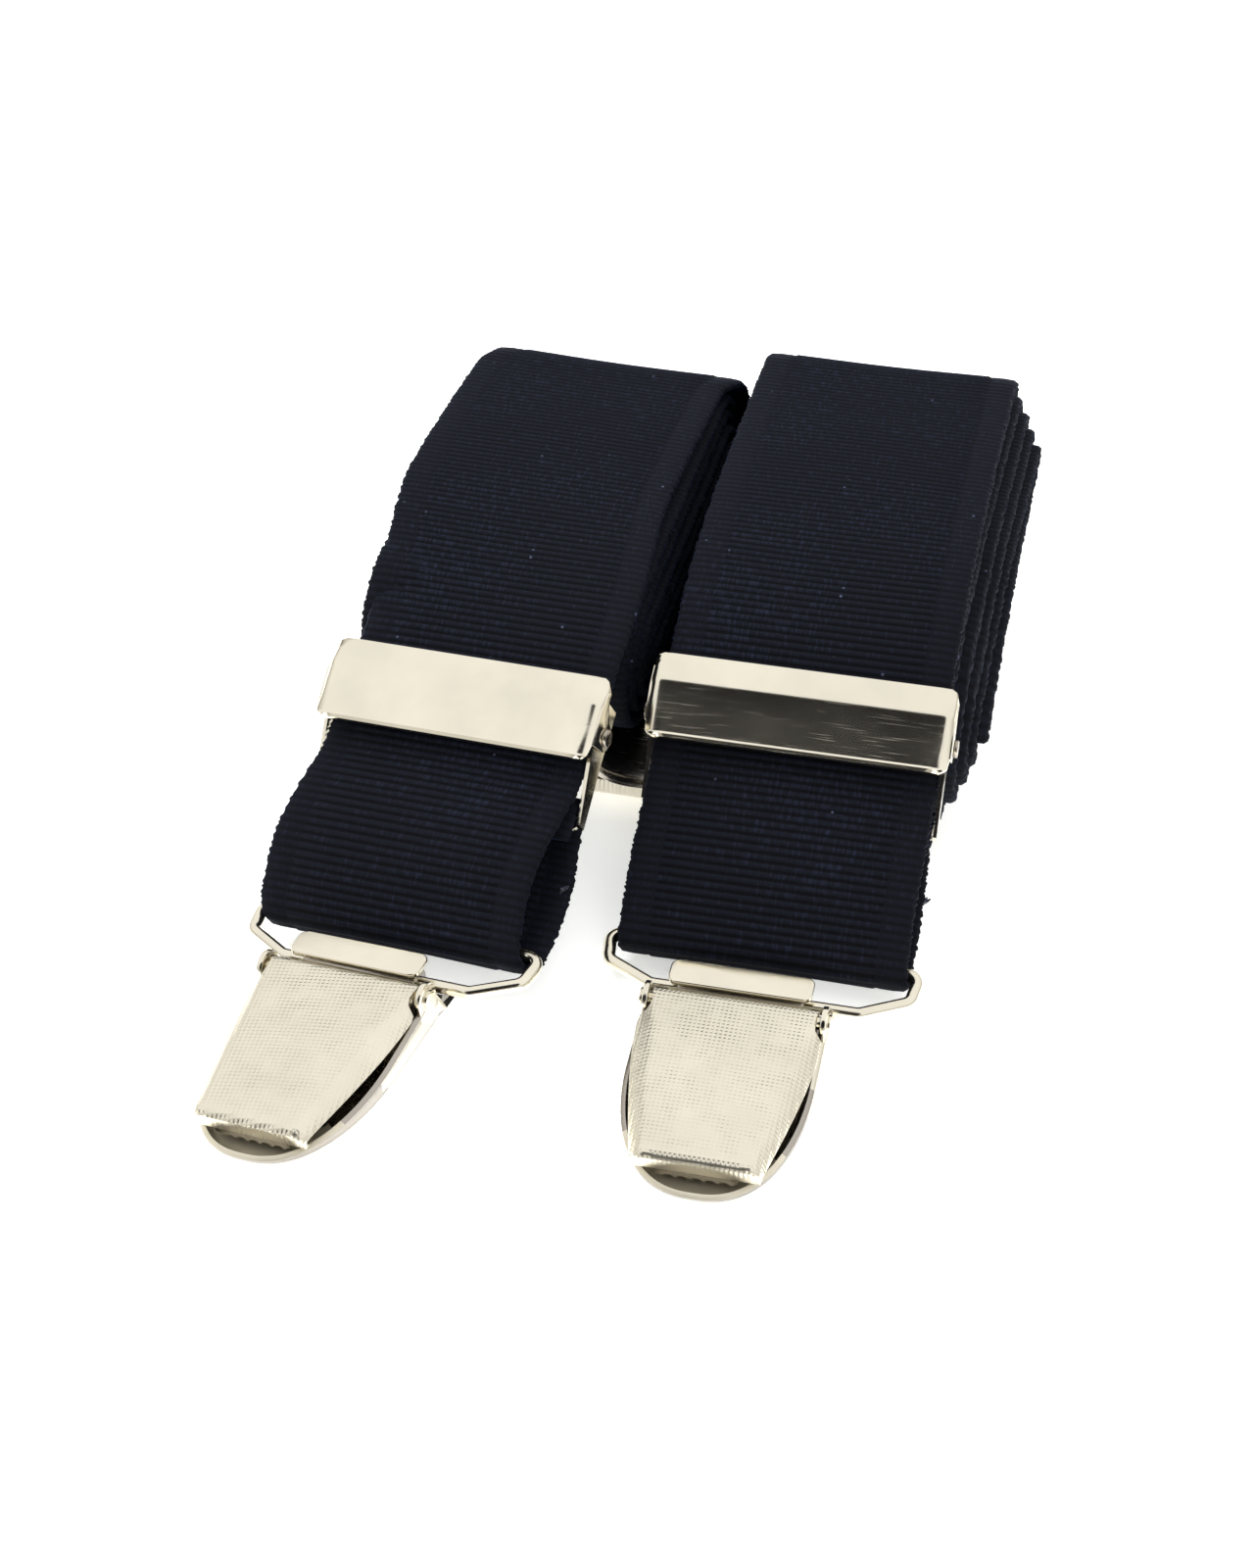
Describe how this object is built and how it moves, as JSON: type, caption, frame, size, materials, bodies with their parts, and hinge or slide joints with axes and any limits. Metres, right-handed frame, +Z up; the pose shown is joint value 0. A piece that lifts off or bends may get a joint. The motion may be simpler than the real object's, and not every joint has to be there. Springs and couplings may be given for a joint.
{
  "type": "suspenders",
  "caption": "Clip-on elastic suspenders, wound up flat, with toothed slide adjusters, wire bails and lever clips on each strap end.",
  "frame": {"origin": "middle of the footprint, on the table that the wound-up suspenders lie on", "axes": "+X across the straps to the wearer's right-hand roll, +Y from the front clips towards the far folds, +Z up"},
  "size_m": [0.0842, 0.1476, 0.0311],
  "materials": {
    "webbing": "ribbed woven elastic, matt with a faint sheen",
    "leather": "smooth, semi-matt",
    "nickel": "bright nickel plate, slightly worn",
    "dark_nickel": "nickel plate, duller inside"
  },
  "bodies": {
    "root": {"left_strap": "webbing", "right_strap": "webbing", "rear_strap": "webbing", "patch_top_leather": "leather", "patch_under_leather": "leather"},
    "left_adjuster": {"left_adjuster_frame": "nickel", "left_adjuster_rivets": "dark_nickel"},
    "left_adjuster_lever": {"left_adjuster_cover": "nickel"},
    "right_adjuster": {"right_adjuster_frame": "nickel", "right_adjuster_rivets": "dark_nickel"},
    "right_adjuster_lever": {"right_adjuster_cover": "nickel"},
    "left_bail": {"left_bail": "nickel"},
    "left_clip": {"left_clip_jaw": "dark_nickel", "left_clip_pin": "dark_nickel"},
    "left_clip_lever": {"left_clip_cover": "nickel"},
    "left_clip_clamp": {"left_clip_clamp": "dark_nickel"},
    "right_bail": {"right_bail": "nickel"},
    "right_clip": {"right_clip_jaw": "dark_nickel", "right_clip_pin": "dark_nickel"},
    "right_clip_lever": {"right_clip_cover": "nickel"},
    "right_clip_clamp": {"right_clip_clamp": "dark_nickel"},
    "rear_bail": {"rear_bail": "nickel"},
    "rear_clip": {"rear_clip_jaw": "dark_nickel", "rear_clip_pin": "dark_nickel"},
    "rear_clip_lever": {"rear_clip_cover": "nickel"},
    "rear_clip_clamp": {"rear_clip_clamp": "dark_nickel"}
  },
  "joints": [
    {"name": "left_adjuster_slide", "type": "slide", "parent": "root", "child": "left_adjuster", "axis": [0.1084, 0.8614, 0.4963], "range_m": [-0.005, 0.001]},
    {"name": "left_adjuster_lever_hinge", "type": "hinge", "parent": "left_adjuster", "child": "left_adjuster_lever", "pos_m": [-0.02025, -0.01346, 0.02127], "axis": [0.9736, -0.1928, 0.1219], "range_deg": [0, 22]},
    {"name": "right_adjuster_slide", "type": "slide", "parent": "root", "child": "right_adjuster", "axis": [0, 0.829, 0.5592], "range_m": [-0.005, 0.001]},
    {"name": "right_adjuster_lever_hinge", "type": "hinge", "parent": "right_adjuster", "child": "right_adjuster_lever", "pos_m": [0.02024, -0.00765, 0.02139], "axis": [1, 0, 0], "range_deg": [0, 22]},
    {"name": "left_bail_swing", "type": "hinge", "parent": "root", "child": "left_bail", "pos_m": [-0.02291, -0.03671, 0.00578], "axis": [-0.9736, 0.1928, -0.1219], "range_deg": [-15, 50]},
    {"name": "left_clip_swing", "type": "hinge", "parent": "left_bail", "child": "left_clip", "pos_m": [-0.02562, -0.04326, 0.0047], "axis": [-0.9736, 0.1928, -0.1219], "range_deg": [-30, 20]},
    {"name": "left_clip_lever_hinge", "type": "hinge", "parent": "left_clip", "child": "left_clip_lever", "pos_m": [-0.02663, -0.04734, 0.00639], "axis": [-0.9736, 0.1928, -0.1219], "range_deg": [0, 60]},
    {"name": "left_clip_clamp_hinge", "type": "hinge", "parent": "left_clip", "child": "left_clip_clamp", "pos_m": [-0.02663, -0.04734, 0.00639], "axis": [-0.9736, 0.1928, -0.1219], "range_deg": [0, 15]},
    {"name": "right_bail_swing", "type": "hinge", "parent": "root", "child": "right_bail", "pos_m": [0.02024, -0.02983, 0.0042], "axis": [-1, 0, 0], "range_deg": [-15, 50]},
    {"name": "right_clip_swing", "type": "hinge", "parent": "right_bail", "child": "right_clip", "pos_m": [0.01874, -0.03678, 0.0033], "axis": [-1, 0, 0], "range_deg": [-30, 20]},
    {"name": "right_clip_lever_hinge", "type": "hinge", "parent": "right_clip", "child": "right_clip_lever", "pos_m": [0.01874, -0.04097, 0.005], "axis": [-1, 0, 0], "range_deg": [0, 60]},
    {"name": "right_clip_clamp_hinge", "type": "hinge", "parent": "right_clip", "child": "right_clip_clamp", "pos_m": [0.01874, -0.04097, 0.005], "axis": [-1, 0, 0], "range_deg": [0, 15]},
    {"name": "rear_bail_swing", "type": "hinge", "parent": "root", "child": "rear_bail", "pos_m": [-0.00076, 0.03318, 0.0024], "axis": [1, 0, 0], "range_deg": [0, 50]},
    {"name": "rear_clip_swing", "type": "hinge", "parent": "rear_bail", "child": "rear_clip", "pos_m": [-0.00076, 0.02632, 0.00385], "axis": [1, 0, 0], "range_deg": [0, 20]},
    {"name": "rear_clip_lever_hinge", "type": "hinge", "parent": "rear_clip", "child": "rear_clip_lever", "pos_m": [-0.00076, 0.02212, 0.00215], "axis": [1, 0, 0], "range_deg": [0, 60]},
    {"name": "rear_clip_clamp_hinge", "type": "hinge", "parent": "rear_clip", "child": "rear_clip_clamp", "pos_m": [-0.00076, 0.02212, 0.00215], "axis": [1, 0, 0], "range_deg": [0, 15]}
  ],
  "couplings": [
    {"joint": "left_clip_clamp_hinge", "follows": "left_clip_lever_hinge", "ratio": 0.25},
    {"joint": "right_clip_clamp_hinge", "follows": "right_clip_lever_hinge", "ratio": 0.25},
    {"joint": "rear_clip_clamp_hinge", "follows": "rear_clip_lever_hinge", "ratio": 0.25}
  ]
}
